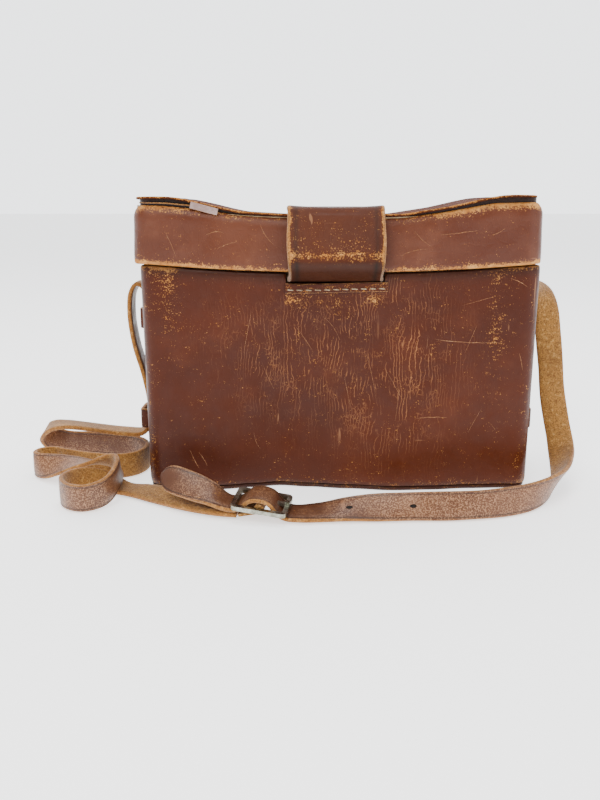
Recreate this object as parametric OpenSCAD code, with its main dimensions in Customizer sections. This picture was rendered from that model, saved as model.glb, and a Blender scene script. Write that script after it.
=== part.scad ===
// Leather carrying case for small binoculars, closed, with its shoulder strap laid round it.
// Millimetres. The origin is on the table under the middle of the body. +Z is up and -Y is the front.

/* [Body] */
// Width of the body across the outer leather
body_w = 182; // [150:1:220]
// Depth of the body, front to back
body_d = 75; // [60:1:100]
// Height of the body's leather at the joint with the lid
joint_z = 106; // [80:1:140]
// Radius of the upright corners
corner_r = 8; // [6:1:20]
// Thickness of the outer leather
wrap_t = 3.0; // [2:0.1:4]
// Thickness of the stiff inner board
board_t = 2.4; // [1.5:0.1:4]
// Thickness of the lining
lining_t = 0.8; // [0.4:0.1:1.5]
// How far the inner board stands up inside the lid
collar_h = 10; // [4:1:16]
// How far the front board sits back, to leave room for the tongue
front_gap = 2.6; // [2:0.1:4]

/* [Lid] */
// Width of the lid
lid_w = 184; // [150:0.1:220]
// Sideways offset of the lid on the body
lid_x = -1.3; // [-3:0.1:3]
// How far the lid's front stands out over the body
lid_lip = 1.4; // [0.5:0.1:3]
// Thickness of the lid's leather
band_t = 2.2; // [1.5:0.1:3]
// Height of the lid's rim at the middle, above the table
rim_mid_z = 126.5; // [110:0.5:150]
// How much higher the rim is at its ends
rim_sag = 5.8; // [0:0.1:10]
// How much higher the curled top leather is at its ends
top_sag = 8.2; // [0:0.1:12]
// How far the lid's front lower edge droops at the middle
apron_sag = 3.6; // [0.5:0.1:5]

/* [Tongue] */
// Width of the tongue
tongue_w = 43.3; // [25:0.1:60]
// Sideways place of the tongue
tongue_x = -2.5; // [-10:0.1:10]
// Height of the slot's lower edge
slot_z = 98; // [80:0.5:110]

/* [Hinge] */
// Width of the hinge leather
hinge_w = 132; // [60:1:150]
// Thickness of the hinge leather
hinge_t = 2.0; // [1:0.1:3]
// Height of each half of the hinge leather
hinge_h = 16; // [8:1:24]

/* [Strap] */
// Width of the shoulder strap
strap_w = 12.5; // [10:0.1:20]
// Thickness of the shoulder strap
strap_t = 2.2; // [1.5:0.1:3]
// Front-to-back place of the strap loops
loop_y = 2; // [-10:1:10]

/* [Buckle] */
// Length of the buckle frame along the strap
buckle_l = 24.5; // [18:0.5:32]
// Width of the buckle frame across the strap
buckle_w = 17; // [15:0.5:26]
// Thickness of the buckle's wire
wire = 2.0; // [1.2:0.1:3]

/* [Hidden] */
eps = 0.02;
half_w = body_w / 2;
half_d = body_d / 2;
lid_d = body_d + lid_lip;
lid_y = -lid_lip / 2;
base_t = 2.4;
welt_t = 1.0;
wrap_z0 = base_t + welt_t;
wrap_top = joint_z - 0.3;
lid_z0 = joint_z + 0.3;
floor_z = wrap_z0 + 4.2;
board_w = body_w - 2 * wrap_t;
board_y0 = -half_d + wrap_t + front_gap;
board_y1 = half_d - wrap_t;
board_d = board_y1 - board_y0;
board_yc = (board_y0 + board_y1) / 2;
axis_y = half_d + hinge_t + 0.15;
sag_half = 84;
apron_r = (sag_half * sag_half + apron_sag * apron_sag) / (2 * apron_sag);
rim_r = (half_w * half_w + rim_sag * rim_sag) / (2 * rim_sag);
top_r = (half_w * half_w + top_sag * top_sag) / (2 * top_sag);
slot_half = tongue_w / 2 + 1;
loop_w = strap_w + 1.9;
loop_t = 1.8;
stitch = 3.2;
thread = 0.7;

// Where the buckle sits, how it leans back, how its left end is raised and how far it is turned
buckle_at = [-34.7, -73, 7.2];
buckle_lean = 80;
buckle_roll = 6;
buckle_turn = -10;

// Route of the strap with the holes: x, y, z of the middle, then the direction of its width
holed_route = [
    [92.5, 2, 62, 0, 1, 0], [93.2, 2, 84, 0, 1, 0],
    [94.8, 2, 92.4, 0, 1, 0], [98.2, 1, 94.8, 0.35, 0.93, 0],
    [101.6, -0.6, 90.8, 0.8, 0.6, 0], [104, -2, 82, 1, 0.15, 0],
    [105.6, -3, 69, 1, 0, 0], [107.4, -4, 55, 1, 0, 0],
    [108.6, -6, 41, 1, 0, 0], [110, -10.4, 28.6, 1, -0.05, 0.1],
    [110.2, -19, 18.5, 0.93, -0.1, 0.3], [108, -30, 12.4, 0.75, -0.3, 0.6],
    [103, -43, 9, 0.45, -0.4, 0.8], [94, -56, 7.4, 0.15, -0.15, 1],
    [83, -65, 6.6, 0.08, 0.25, 0.96], [68, -71.5, 6.4, 0.03, 0.34, 0.94],
    [50, -74.8, 6.4, 0, 0.36, 0.93], [26, -75.4, 6.2, 0, 0.5, 0.87],
    [4, -74.8, 5, 0, 0.82, 0.57], [-9, -74.8, 3.4, 0.08, 0.95, 0.28],
    [-18.2, -75.5, 3.1, 0.19, 0.97, 0.17], [-23.7, -74.5, 3.3, 0.19, 0.97, 0.17],
    [-27.3, -74.1, 5.5, 0.19, 0.97, 0.17], [-30.4, -74.3, 9.6, 0.19, 0.97, 0.17],
    [-34.4, -73.7, 11, 0.19, 0.97, 0.17], [-38.8, -72.8, 10.6, 0.19, 0.97, 0.17],
    [-42.6, -71.4, 7.1, 0.19, 0.97, 0.17], [-46.3, -70.5, 5.7, 0.19, 0.97, 0.17],
    [-50.6, -69.7, 6.1, 0.19, 0.97, 0.17], [-57.5, -68.6, 9.6, 0.17, 0.84, 0.5],
    [-66, -65.4, 12, 0.14, 0.6, 0.79], [-74, -61.6, 13.6, 0.06, 0.45, 0.89],
    [-80, -57.6, 14.6, 0, 0.38, 0.92]
];

// Route of the strap with the buckle, from the left loops to the buckle
buckled_route = [
    [-92.5, 2, 62, 0, 1, 0], [-93.2, 2, 84, 0, 1, 0],
    [-95.2, 2, 92.6, 0, 1, 0], [-98.6, 2, 94.6, 0, 1, 0],
    [-101.6, 2, 90.6, 0, 1, 0], [-102.8, 2, 80, 0, 1, 0],
    [-101, 2, 64, 0, 1, 0], [-97.4, 2, 50, 0, 1, 0],
    [-94.9, 2, 36, 0, 1, 0], [-94.8, 2, 27, 0, 1, 0],
    [-96.2, 2, 21, 0, 1, 0], [-100, 2, 18, 0, 1, 0],
    [-110, 2.4, 18, 0, 1, 0], [-140, 6, 20.4, 0, 1, 0],
    [-149, 8.6, 18.6, 0.1, 0.9, 0.2], [-154, 12.6, 14.4, 0.2, 0.7, 0.55],
    [-152.6, 17.6, 9.6, 0.1, 0.35, 0.9], [-145, 20.4, 7, 0, 0, 1],
    [-132, 20, 6.6, 0, 0, 1], [-118, 17, 6.6, 0, 0, 1],
    [-106, 12, 6.6, 0, 0, 1], [-99, 4, 6.6, 0, 0, 1],
    [-97, -7, 6.6, 0, 0, 1], [-101, -17, 6.6, 0, 0, 1],
    [-110, -21, 6.6, 0, 0, 1], [-136, -12, 6.6, 0, 0, 1],
    [-143, -8.4, 6.6, 0, 0, 1], [-149.6, -10.4, 6.6, 0, 0, 1],
    [-150.6, -16.6, 6.6, 0, 0, 1], [-145, -21.6, 6.8, 0, 0.4, 0.92],
    [-135, -25, 8.4, 0, 0.86, 0.5], [-125, -28, 10, 0, 1, 0],
    [-113, -30.6, 11.6, 0, 0.87, -0.5], [-106.5, -34.4, 12.2, 0.2, 0.5, -0.84],
    [-103, -42, 12, 0.1, 0, -1], [-103, -52, 9.6, 0, 0, -1],
    [-106, -61.6, 7.4, 0, 0, -1], [-113, -67, 6.8, 0, 0, -1],
    [-120.5, -64.6, 6.8, 0, 0, -1], [-126, -56, 6.8, 0, 0, -1],
    [-125, -46.4, 6.6, 0, -0.05, -1], [-118.4, -40, 5.8, -0.1, -0.45, -0.85],
    [-109, -39.4, 3.8, -0.1, -0.8, -0.45], [-101, -41.6, 2.2, -0.3, -0.95, -0.03],
    [-92, -46, 2.6, -0.42, -0.88, -0.12], [-82, -52.6, 3.2, -0.42, -0.87, -0.24],
    [-71, -60, 3.4, -0.38, -0.88, -0.26], [-60, -65.8, 3.4, -0.28, -0.93, -0.22],
    [-51.5, -69, 3.2, -0.19, -0.97, -0.17], [-44.8, -70.3, 3.2, -0.19, -0.97, -0.17]
];

// Vector helpers for the strap sweep
function unit(v) = v / norm(v);
function spot(route, i) = [route[i][0], route[i][1], route[i][2]];
function wide(route, i) = [route[i][3], route[i][4], route[i][5]];
function along(route, i) =
    let (last = len(route) - 1)
    unit(spot(route, min(i + 1, last)) - spot(route, max(i - 1, 0)));
function across(route, i) =
    let (t = along(route, i), w = wide(route, i))
    unit(w - t * (w * t));
function ring(route, i) =
    let (w = across(route, i), n = cross(along(route, i), w), a = strap_w / 2, b = strap_t / 2)
    [
        for (k = [[1, 0.45], [0.94, 1], [-0.94, 1], [-1, 0.45], [-1, -0.45], [-0.94, -1], [0.94, -1], [1, -0.45]])
            spot(route, i) + w * (a * k[0]) + n * (b * k[1])
    ];

module sweep_strap(route) {
    count = len(route);
    points = [for (i = [0 : count - 1]) for (p = ring(route, i)) p];
    walls = [
        for (i = [0 : count - 2])
            for (k = [0 : 7])
                for (half = [0, 1])
                    half == 0
                        ? [i * 8 + k, (i + 1) * 8 + k, (i + 1) * 8 + (k + 1) % 8]
                        : [i * 8 + k, (i + 1) * 8 + (k + 1) % 8, i * 8 + (k + 1) % 8]
    ];
    start = [[for (k = [0 : 7]) k]];
    finish = [[for (k = [7 : -1 : 0]) (count - 1) * 8 + k]];
    polyhedron(points = points, faces = concat(walls, start, finish), convexity = 10);
}

// Rounded rectangle from squares and circles
module outline(w, d, r) {
    square([w - 2 * r, d], center = true);
    square([w, d - 2 * r], center = true);
    for (x = [-1, 1], y = [-1, 1]) {
        translate([x * (w / 2 - r), y * (d / 2 - r)]) circle(r = r, $fn = 64);
    }
}

module slab(w, d, r, z0, z1) {
    translate([0, 0, z0]) linear_extrude(z1 - z0) outline(w, d, r);
}

module tube(w, d, r, t, z0, z1) {
    difference() {
        slab(w, d, r, z0, z1);
        slab(w - 2 * t, d - 2 * t, r - t, z0 - 1, z1 + 1);
    }
}

// Long round bar along Y, used to cut or bound a sagging edge whose lowest point is at z
module sag_bar(r, z, y0, y1) {
    translate([0, y1, z + r]) rotate([90, 0, 0]) cylinder(r = r, h = y1 - y0, $fn = 360);
}

module lid_frame() {
    translate([lid_x, lid_y, 0]) children();
}

// Body

module body_wrap() {
    color("#6b3a26")
    difference() {
        tube(body_w, body_d, corner_r, wrap_t, wrap_z0, wrap_top);
        intersection() {
            sag_bar(apron_r + 0.6, wrap_top - apron_sag, -half_d - 2, -half_d + wrap_t + 1);
            translate([-sag_half, -half_d - 3, wrap_top - 8]) cube([2 * sag_half, wrap_t + 5, 20]);
        }
        translate([tongue_x - slot_half, -half_d - 1, slot_z]) cube([2 * slot_half, wrap_t + 2, 20]);
    }
}

module bottom_panel() {
    color("#5b3122") slab(body_w - 0.8, body_d - 0.8, corner_r - 0.4, 0, base_t);
}

module bottom_welt() {
    color("#a9763f") tube(body_w, body_d, corner_r, 6, base_t, wrap_z0);
}

module body_board() {
    color("#b39a72")
    difference() {
        translate([0, board_yc, 0]) tube(board_w, board_d, corner_r - wrap_t, board_t, wrap_z0, joint_z + collar_h);
        translate([tongue_x - slot_half - 2.1, board_y0 - 1, slot_z - 16.6])
            cube([2 * slot_half + 4.2, board_t + 2, 17.2]);
    }
}

module body_lining() {
    color("#7a2f2c")
    difference() {
        translate([0, board_yc, 0])
            tube(board_w - 2 * board_t, board_d - 2 * board_t, corner_r - wrap_t - board_t, lining_t,
                 floor_z + eps, joint_z + collar_h - 0.6);
        translate([tongue_x - slot_half - 2.1, board_y0 - 1, slot_z - 16.6])
            cube([2 * slot_half + 4.2, board_t + 3, 17.2]);
    }
}

module bottom_board() {
    color("#b39a72")
    translate([0, board_yc, 0])
        slab(board_w - 2 * board_t - 0.1, board_d - 2 * board_t - 0.1, corner_r - wrap_t - board_t,
             wrap_z0, wrap_z0 + 2.2);
}

module bottom_pad() {
    color("#7a2f2c")
    translate([0, board_yc, 0])
        slab(board_w - 2 * board_t - 0.1, board_d - 2 * board_t - 0.1, corner_r - wrap_t - board_t,
             wrap_z0 + 2.2, floor_z);
}

module slot_lip() {
    color("#7c4a30")
    translate([tongue_x + 0.5 - 23, -half_d - 1.2, slot_z - 4.1]) cube([46, 1.2, 4]);
}

module slot_pocket() {
    color("#b39a72")
    difference() {
        translate([tongue_x - slot_half - 2, board_y0, slot_z - 16.5])
            cube([2 * slot_half + 4, 3.7, 17]);
        translate([tongue_x - slot_half - 0.8, board_y0 - 1, slot_z - 15.3])
            cube([2 * slot_half + 1.6, 3.7, 20]);
    }
}

module stitch_row(count, pitch) {
    for (i = [0 : count - 1]) {
        translate([(i - (count - 1) / 2) * pitch - stitch / 2, 0, 0]) cube([stitch, thread / 2, thread]);
    }
}

module slot_stitching() {
    color("#d8c39a")
    translate([tongue_x + 0.5, -half_d - 1.2 - thread / 2, slot_z - 3.2]) stitch_row(10, 4.4);
}

module hinge_lower() {
    color("#6b3a26")
    translate([-hinge_w / 2, half_d, wrap_top - hinge_h]) cube([hinge_w, hinge_t, hinge_h]);
}

module hinge_lower_stitching() {
    color("#d8c39a")
    for (z = [3, hinge_h - 4.2]) {
        translate([0, half_d + hinge_t, wrap_top - hinge_h + z]) stitch_row(22, 5.8);
    }
}

// One strap loop on the right side, folded leather with a foot at each end
module strap_loop(gap, z0, h) {
    translate([half_w, loop_y, z0])
    linear_extrude(h)
    difference() {
        union() {
            translate([0, -loop_w / 2 - 8]) square([loop_t, loop_w + 16]);
            translate([0, -loop_w / 2 - loop_t]) square([gap + loop_t, loop_w + 2 * loop_t]);
        }
        translate([-1, -loop_w / 2]) square([gap + 1, loop_w]);
    }
}

module loop_upper_left() {
    color("#5b3122") mirror([1, 0, 0]) strap_loop(4.6, 73, 10);
}

module loop_upper_right() {
    color("#5b3122") strap_loop(4.6, 73, 10);
}

module loop_lower_left() {
    color("#5b3122") mirror([1, 0, 0]) strap_loop(6.6, 22, 10);
}

module loop_lower_right() {
    color("#5b3122") strap_loop(6.6, 22, 10);
}

module rivet(x, y, z) {
    translate([x, y, z]) rotate([0, 90, 0]) cylinder(r = 2, h = 0.9, $fn = 32);
}

module loop_rivets() {
    color("#b9b6ad")
    for (side = [0, 1], z = [78, 27], y = [-1, 1]) {
        mirror([side, 0, 0]) rivet(half_w + loop_t, loop_y + y * (loop_w / 2 + 5), z);
    }
}

module strap_rivets() {
    color("#b9b6ad")
    for (side = [0, 1]) {
        mirror([side, 0, 0]) rivet(half_w + 2.85, loop_y, 66);
    }
}

// Lid

module lid_band() {
    color("#7d4b37")
    lid_frame()
    difference() {
        union() {
            tube(lid_w, lid_d, corner_r + 0.6, band_t, lid_z0, rim_mid_z + rim_sag + 1);
            intersection() {
                sag_bar(apron_r, lid_z0 - apron_sag, -lid_d / 2, -lid_d / 2 + band_t);
                translate([-sag_half, -lid_d / 2, lid_z0 - 5]) cube([2 * sag_half, band_t, 6]);
            }
        }
        sag_bar(rim_r, rim_mid_z, -half_d - 5, half_d + 5);
    }
}

module lid_top() {
    color("#744432")
    lid_frame()
    difference() {
        intersection() {
            slab(lid_w - 0.4, lid_d - 0.4, corner_r + 0.4, rim_mid_z - 1, rim_mid_z + top_sag + 6);
            sag_bar(top_r, rim_mid_z + 0.05, -half_d - 5, half_d + 5);
        }
        sag_bar(top_r - 2, rim_mid_z + 2.05, -half_d - 6, half_d + 6);
    }
}

module lid_board() {
    color("#b39a72")
    lid_frame()
    difference() {
        intersection() {
            slab(lid_w - 2 * band_t - 0.2, lid_d - 2 * band_t - 0.2, corner_r - 1.7, 118, 136);
            sag_bar(rim_r, rim_mid_z - 2.2, -half_d - 5, half_d + 5);
        }
        sag_bar(rim_r - 2, rim_mid_z - 0.2, -half_d - 6, half_d + 6);
    }
}

module lid_lining() {
    color("#7a2f2c")
    lid_frame()
    difference() {
        slab(lid_w - 2 * band_t - 0.1, lid_d - 2 * band_t - 0.1, corner_r - 1.7, joint_z + collar_h + 1, 136);
        sag_bar(rim_r, rim_mid_z - 2.3, -half_d - 5, half_d + 5);
        difference() {
            slab(lid_w - 2 * band_t - 1.7, lid_d - 2 * band_t - 1.7, corner_r - 2.5, 110, 136);
            sag_bar(rim_r, rim_mid_z - 3.1, -half_d - 6, half_d + 6);
        }
    }
}

module hinge_upper() {
    color("#7d4b37")
    translate([-hinge_w / 2, half_d, lid_z0]) cube([hinge_w, hinge_t, hinge_h]);
}

module hinge_upper_stitching() {
    color("#d8c39a")
    for (z = [4.2, hinge_h - 3]) {
        translate([0, half_d + hinge_t, lid_z0 + z]) stitch_row(22, 5.8);
    }
}

module edge_patch() {
    color("#9c8078")
    translate([-66.5, -half_d - lid_lip - 0.35, 129])
        rotate([0, 13, 0])
            cube([12, 0.34, 3.4]);
}

module tongue_root() {
    color("#7d4b37")
    translate([tongue_x - tongue_w / 2, -half_d - lid_lip, 129.3]) cube([tongue_w, 20, 2.2]);
}

// Tongue: both pieces are one strip of leather, drawn as its section from the side

module tongue_strip(section) {
    translate([tongue_x - tongue_w / 2, 0, 0])
        rotate([90, 0, 90])
            linear_extrude(tongue_w)
                polygon(section);
}

module tongue_flap() {
    color("#7d4b37")
    tongue_strip([
        [-41.3, 130.7], [-51.2, 108.6], [-43.35, 100.95], [-41.65, 102.65], [-48.3, 109.2], [-39.2, 129.7]
    ]);
}

module tongue_tip() {
    color("#7d4b37")
    tongue_strip([
        [-43.35, 100.95], [-37.4, 99], [-34.1, 98.4], [-34, 96], [-33.2, 92], [-32.3, 88], [-31.2, 84],
        [-29.7, 84], [-30.8, 88], [-31.7, 92], [-32.5, 97.5], [-33.1, 99.7], [-36.6, 100.7], [-41.65, 102.65]
    ]);
}

// Strap and buckle

module strap_holed() {
    color("#74493a")
    difference() {
        sweep_strap(holed_route);
        at_buckle() translate([-2.6, -7, -1.3]) cube([13.2, 8.4, 2.6]);
    }
}

module strap_buckled() {
    color("#8a6238") sweep_strap(buckled_route);
}

// Places children in the buckle's own frame: x along the strap, z across it, -y towards the viewer
module at_buckle() {
    translate(buckle_at) rotate([-buckle_lean, buckle_roll, buckle_turn]) children();
}

module buckle_frame() {
    color("#a8a59b")
    at_buckle() {
        rotate([90, 0, 0])
            linear_extrude(wire, center = true)
                difference() {
                    outline(buckle_l, buckle_w, 2.4);
                    outline(buckle_l - 2 * wire, buckle_w - 2 * wire, 1);
                }
        cylinder(r = 0.8, h = buckle_w - 2 * wire + 0.4, center = true, $fn = 32);
    }
}

module strap_fold() {
    color("#8a6238")
    at_buckle()
    difference() {
        union() {
            cylinder(r = 2.2, h = strap_w - 1, center = true, $fn = 48);
            rotate([0, 0, -20]) translate([-10, 0.9, -(strap_w - 1) / 2]) cube([10, 1.3, strap_w - 1]);
        }
        cylinder(r = 0.85, h = strap_w + 2, center = true, $fn = 48);
        translate([-2.6, -4, -1.5]) cube([6, 8, 3]);
    }
}

module buckle_prong() {
    color("#a8a59b")
    at_buckle()
    difference() {
        union() {
            cylinder(r = 1.75, h = 2, center = true, $fn = 48);
            translate([0, -1.75, -0.8]) cube([buckle_l / 2 - 1.1, 1.5, 1.6]);
            translate([buckle_l / 2 - 2.4, -2.55, -0.8]) cube([2.4, 1.5, 1.6]);
        }
        cylinder(r = 0.85, h = 4, center = true, $fn = 48);
        translate([buckle_l / 2 - wire - 0.15, -wire / 2 - 0.05, -3]) cube([wire + 1, wire + 1, 6]);
    }
}

body_wrap();
bottom_panel();
bottom_welt();
body_board();
body_lining();
bottom_board();
bottom_pad();
slot_lip();
slot_pocket();
slot_stitching();
hinge_lower();
hinge_lower_stitching();
loop_upper_left();
loop_upper_right();
loop_lower_left();
loop_lower_right();
loop_rivets();
strap_rivets();
lid_band();
lid_top();
lid_board();
lid_lining();
hinge_upper();
hinge_upper_stitching();
edge_patch();
tongue_root();
tongue_flap();
tongue_tip();
strap_holed();
strap_buckled();
strap_fold();
buckle_frame();
buckle_prong();
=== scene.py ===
"""Looks of a leather binocular case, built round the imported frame. Shapes are worked out in mm."""
import math
import random

import bpy
import numpy as np
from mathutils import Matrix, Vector, noise


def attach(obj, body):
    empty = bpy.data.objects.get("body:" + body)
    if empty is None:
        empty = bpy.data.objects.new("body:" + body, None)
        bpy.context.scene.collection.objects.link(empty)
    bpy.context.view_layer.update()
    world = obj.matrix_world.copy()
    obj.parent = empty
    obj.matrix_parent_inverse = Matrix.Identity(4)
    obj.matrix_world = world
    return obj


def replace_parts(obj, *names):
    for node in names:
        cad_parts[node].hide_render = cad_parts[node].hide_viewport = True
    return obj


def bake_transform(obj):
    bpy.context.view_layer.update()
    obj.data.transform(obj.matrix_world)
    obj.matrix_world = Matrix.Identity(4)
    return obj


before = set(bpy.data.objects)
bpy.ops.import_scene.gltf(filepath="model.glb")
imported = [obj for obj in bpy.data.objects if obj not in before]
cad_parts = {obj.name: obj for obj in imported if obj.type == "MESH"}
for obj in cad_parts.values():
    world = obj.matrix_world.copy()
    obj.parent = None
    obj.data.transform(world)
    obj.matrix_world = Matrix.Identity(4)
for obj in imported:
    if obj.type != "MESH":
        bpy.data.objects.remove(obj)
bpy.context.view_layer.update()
MM = 0.001

# width, depth and corner radius
BODY_BOX = (182, 75, 8)
LID_BOX = (184, 76.4, 8.6)
HALF_W, HALF_D = BODY_BOX[0] / 2, BODY_BOX[1] / 2
FRONT_Y = -HALF_D
LX, LY = -1.3, -0.7  # where the lid's middle sits
TX, TW = -2.5, 43.3  # the tongue's middle and width
SLOT_Z = 98.0  # the wrap's edge under the tongue
STRAP_W, STRAP_T = 12.5, 2.1
HINGE_W = 132

# ---------------------------------------------------------------- camera
cam_data = bpy.data.cameras.new("camera")
cam_data.sensor_width = 36.0
cam_data.lens = 35.5
cam = bpy.data.objects.new("camera", cam_data)
cam.location = (-0.0183, -0.3935, 0.1289)
cam.rotation_euler = (math.radians(90 - 13.4), 0, 0)
bpy.context.scene.collection.objects.link(cam)
bpy.context.scene.camera = cam


# ---------------------------------------------------------------- materials
class Mat:
    """A node material under construction, with short names for the nodes used here."""

    def __init__(self, name):
        self.m = bpy.data.materials.new(name)
        self.m.use_nodes = True
        self.t = self.m.node_tree
        self.t.nodes.clear()
        self.out = self.t.nodes.new("ShaderNodeOutputMaterial")
        self.b = self.t.nodes.new("ShaderNodeBsdfPrincipled")
        self.t.links.new(self.b.outputs[0], self.out.inputs["Surface"])
        self.pos = self.t.nodes.new("ShaderNodeTexCoord").outputs["Object"]

    def link(self, a, b):
        """Joins an output to an input."""
        self.t.links.new(a, b)

    def put(self, socket, v):
        """Sets an input to a number or colour, or joins an output to it."""
        if hasattr(v, "links"):
            self.link(v, socket)
        else:
            socket.default_value = v

    def attr(self, name):
        """A painted value of the mesh."""
        n = self.t.nodes.new("ShaderNodeAttribute")
        n.attribute_name = name
        return n.outputs["Fac"]

    def scaled(self, x, y, z):
        """The object's coordinates, scaled."""
        n = self.t.nodes.new("ShaderNodeMapping")
        n.inputs["Scale"].default_value = (x, y, z)
        self.link(self.pos, n.inputs["Vector"])
        return n.outputs[0]

    def noise(self, scale, detail=4.0, rough=0.55, vec=None):
        """Cloudy noise, about 0.5 on average."""
        n = self.t.nodes.new("ShaderNodeTexNoise")
        n.inputs["Scale"].default_value = scale
        n.inputs["Detail"].default_value = detail
        n.inputs["Roughness"].default_value = rough
        self.link(vec or self.pos, n.inputs["Vector"])
        return n.outputs["Fac"]

    def cells(self, scale, vec):
        """Distance to the nearest cell edge."""
        n = self.t.nodes.new("ShaderNodeTexVoronoi")
        n.feature = "DISTANCE_TO_EDGE"
        n.inputs["Scale"].default_value = scale
        self.link(vec, n.inputs["Vector"])
        return n.outputs["Distance"]

    def math(self, op, a, b=0.0, clamp=False):
        """A sum of one or two values."""
        n = self.t.nodes.new("ShaderNodeMath")
        n.operation = op
        n.use_clamp = clamp
        self.put(n.inputs[0], a)
        self.put(n.inputs[1], b)
        return n.outputs[0]

    def step(self, v, lo, hi, out_lo=0.0, out_hi=1.0):
        """A soft step between lo and hi."""
        n = self.t.nodes.new("ShaderNodeMapRange")
        n.interpolation_type = "SMOOTHSTEP"
        self.put(n.inputs["Value"], v)
        n.inputs["From Min"].default_value = lo
        n.inputs["From Max"].default_value = hi
        n.inputs["To Min"].default_value = out_lo
        n.inputs["To Max"].default_value = out_hi
        return n.outputs[0]

    def mix(self, f, a, b):
        """Colour a going to b as f goes from 0 to 1."""
        n = self.t.nodes.new("ShaderNodeMix")
        n.data_type = "RGBA"
        self.put(n.inputs[0], f)
        self.put(n.inputs[6], (*a, 1) if isinstance(a, tuple) and len(a) == 3 else a)
        self.put(n.inputs[7], (*b, 1) if isinstance(b, tuple) and len(b) == 3 else b)
        return n.outputs[2]

    def bump(self, height, strength, dist, under=None):
        """A bumped normal, over another one if given."""
        n = self.t.nodes.new("ShaderNodeBump")
        n.inputs["Strength"].default_value = strength
        n.inputs["Distance"].default_value = dist
        self.put(n.inputs["Height"], height)
        if under is not None:
            self.link(under, n.inputs["Normal"])
        return n.outputs[0]

    def done(self, colour, rough, normal=None, metallic=0.0, spec=0.5, sheen=0.0, coat=0.0):
        """Connects everything and gives the finished material."""
        self.put(self.b.inputs["Base Color"], colour)
        self.put(self.b.inputs["Roughness"], rough)
        self.b.inputs["Metallic"].default_value = metallic
        self.b.inputs["Specular IOR Level"].default_value = spec
        self.b.inputs["Sheen Weight"].default_value = sheen
        self.b.inputs["Coat Weight"].default_value = coat
        self.b.inputs["Coat Roughness"].default_value = 0.35
        if normal is not None:
            self.link(normal, self.b.inputs["Normal"])
        return self.m


RAW = (0.40, 0.145, 0.024)
RAW_LIGHT = (0.58, 0.275, 0.075)


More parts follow.
